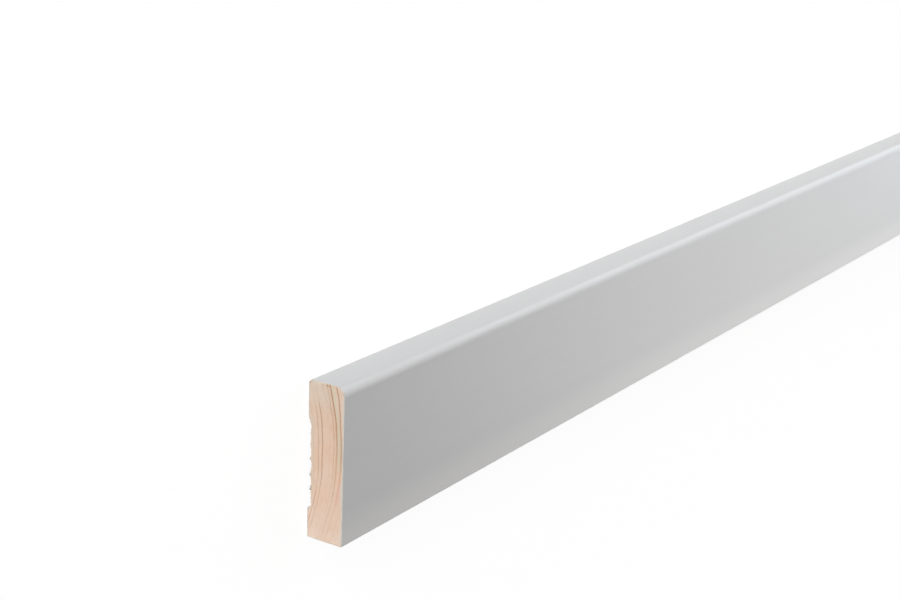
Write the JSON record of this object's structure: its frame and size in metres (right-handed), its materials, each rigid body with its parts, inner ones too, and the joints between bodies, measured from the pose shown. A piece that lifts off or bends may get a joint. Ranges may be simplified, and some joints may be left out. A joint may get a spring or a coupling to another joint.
{
  "type": "architrave",
  "caption": "Length of white-painted pine architrave with a rounded long arris, a square long arris, a shallow hollow along its back and square sawn ends.",
  "frame": {"origin": "under the middle of the board, on the level of its back", "axes": "+X along the length, +Y across the width towards the rounded arris, +Z through the thickness towards the painted face"},
  "size_m": [2.2, 0.058, 0.015],
  "materials": {
    "painted_pine": "satin white paint on the face and both long edges, bare pine on the back and the sawn ends"
  },
  "bodies": {
    "root": {"architrave": "painted_pine"}
  },
  "joints": []
}
